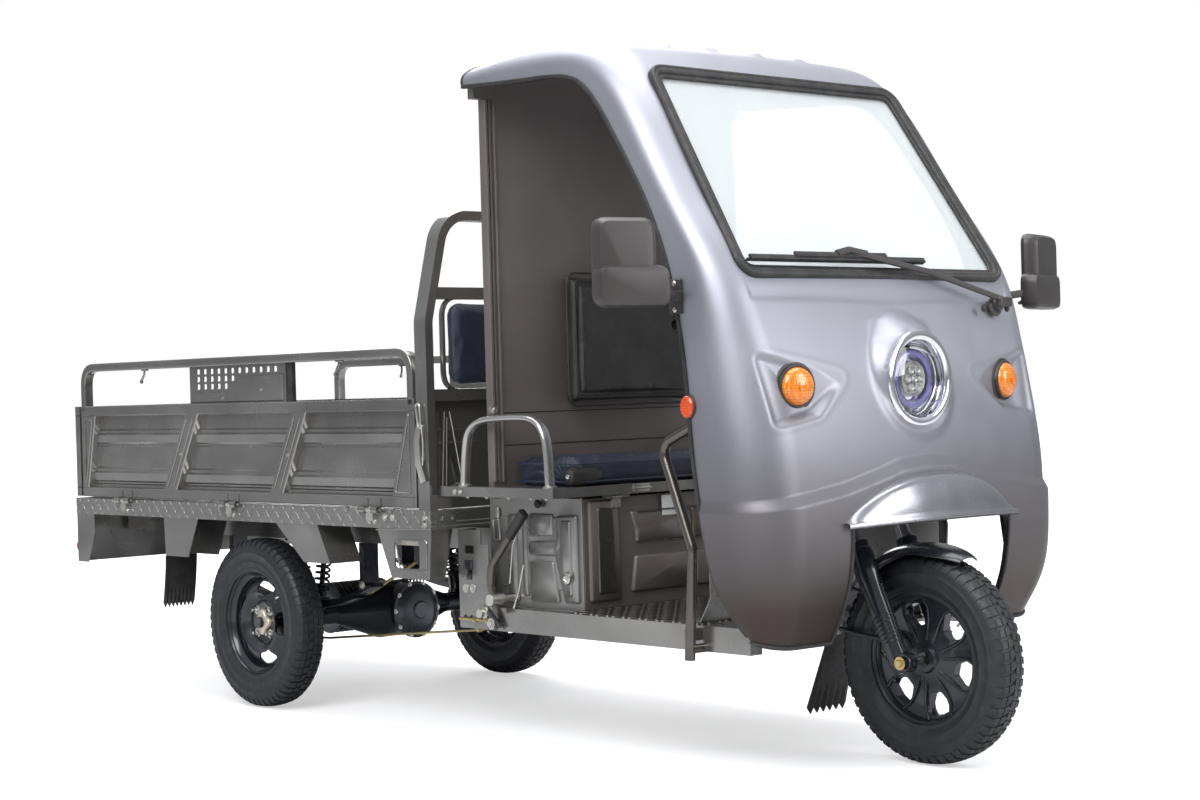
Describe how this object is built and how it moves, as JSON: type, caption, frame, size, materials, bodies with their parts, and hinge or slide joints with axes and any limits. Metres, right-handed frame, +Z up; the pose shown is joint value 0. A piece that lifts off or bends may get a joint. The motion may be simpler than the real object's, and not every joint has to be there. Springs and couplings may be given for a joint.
{
  "type": "electric cargo tricycle",
  "caption": "Electric cargo tricycle with an open-sided moulded cab, fork-steered front wheel, tipping seat over a battery box, and a drop-side bed on a driven rear axle",
  "frame": {"origin": "on the ground, midway along the overall length and width", "axes": "+X forward, +Y to the vehicle's left, +Z up"},
  "size_m": [3.523, 1.6792, 1.8234],
  "materials": {
    "frame_grey": "satin",
    "checker_steel": "chequered",
    "box_silver": "satin",
    "battery_case": "matte",
    "zinc": "zinc plated",
    "pad_blue": "vinyl",
    "lens_red": "gloss",
    "axle_black": "satin",
    "rubber": "matte",
    "cab_paint": "matt metallic",
    "glass": "clear",
    "cab_wall": "satin",
    "visor_silver": "satin",
    "chrome": "polished",
    "lens_clear": "clear",
    "lens_amber": "gloss",
    "black_plastic": "textured",
    "guard_steel": "satin",
    "shield_silver": "satin",
    "vinyl_black": "vinyl",
    "vinyl_navy": "vinyl",
    "fender_black": "satin",
    "rim_black": "satin",
    "tyre": "matte"
  },
  "bodies": {
    "chassis": {"frame": "frame_grey", "footwell_floor": "checker_steel", "battery_box": "box_silver", "batteries": "battery_case", "bed_floor": "frame_grey", "bed_hinges": "zinc", "bed_gussets": "frame_grey", "headboard": "frame_grey", "headboard_pad": "pad_blue", "tail_panel": "frame_grey", "tail_lamps": "lens_red", "rear_axle": "axle_black", "leaf_springs": "axle_black", "shock_absorbers": "axle_black", "mudflap_brackets": "frame_grey", "mudflaps": "rubber", "cab_shell": "cab_paint", "windscreen": "glass", "windscreen_seal": "rubber", "cab_rear_wall": "cab_wall", "visor": "visor_silver", "headlamp": "chrome", "headlamp_lens": "lens_clear", "indicators": "lens_amber", "side_markers": "lens_red", "mirrors": "black_plastic", "leg_guards": "guard_steel", "leg_shield": "shield_silver", "backrest": "vinyl_black", "handbrake_lever": "axle_black", "brake_bracket": "frame_grey", "seat_hinges": "zinc"},
    "steering": {"fork": "chrome", "fork_sliders": "axle_black", "front_axle": "zinc", "front_fender": "fender_black", "handlebar": "axle_black", "instrument_panel": "black_plastic"},
    "front_wheel": {"front_tyre": "tyre", "front_rim": "rim_black"},
    "rear_wheel_right": {"rear_tyre_right": "tyre", "rear_rim_right": "rim_black"},
    "rear_wheel_left": {"rear_tyre_left": "tyre", "rear_rim_left": "rim_black"},
    "side_board_right": {"side_right": "frame_grey"},
    "side_board_left": {"side_left": "frame_grey"},
    "tail_board": {"tailgate": "frame_grey"},
    "seat": {"seat_frame": "frame_grey", "seat_cushion": "vinyl_navy", "grab_rails": "guard_steel"}
  },
  "joints": [
    {"name": "steer", "type": "hinge", "parent": "chassis", "child": "steering", "pos_m": [1.45269, 0, 0.2296], "axis": [-0.4067, 0, 0.9135], "range_deg": [-40, 40]},
    {"name": "front_wheel_spin", "type": "hinge", "parent": "steering", "child": "front_wheel", "pos_m": [1.5075, 0, 0.254], "axis": [0, 1, 0], "continuous": true},
    {"name": "rear_right_spin", "type": "hinge", "parent": "chassis", "child": "rear_wheel_right", "pos_m": [-0.6755, -0.465, 0.254], "axis": [0, 1, 0], "continuous": true},
    {"name": "rear_left_spin", "type": "hinge", "parent": "chassis", "child": "rear_wheel_left", "pos_m": [-0.6755, 0.465, 0.254], "axis": [0, 1, 0], "continuous": true},
    {"name": "side_right_drop", "type": "hinge", "parent": "chassis", "child": "side_board_right", "pos_m": [0, -0.536, 0.61], "axis": [1, 0, 0], "range_deg": [0, 180]},
    {"name": "side_left_drop", "type": "hinge", "parent": "chassis", "child": "side_board_left", "pos_m": [0, 0.536, 0.61], "axis": [-1, 0, 0], "range_deg": [0, 180]},
    {"name": "tailgate_drop", "type": "hinge", "parent": "chassis", "child": "tail_board", "pos_m": [-1.7065, 0, 0.61], "axis": [0, -1, 0], "range_deg": [0, 150]},
    {"name": "seat_tip", "type": "hinge", "parent": "chassis", "child": "seat", "pos_m": [0.7005, 0, 0.646], "axis": [0, 1, 0], "range_deg": [0, 55]}
  ]
}
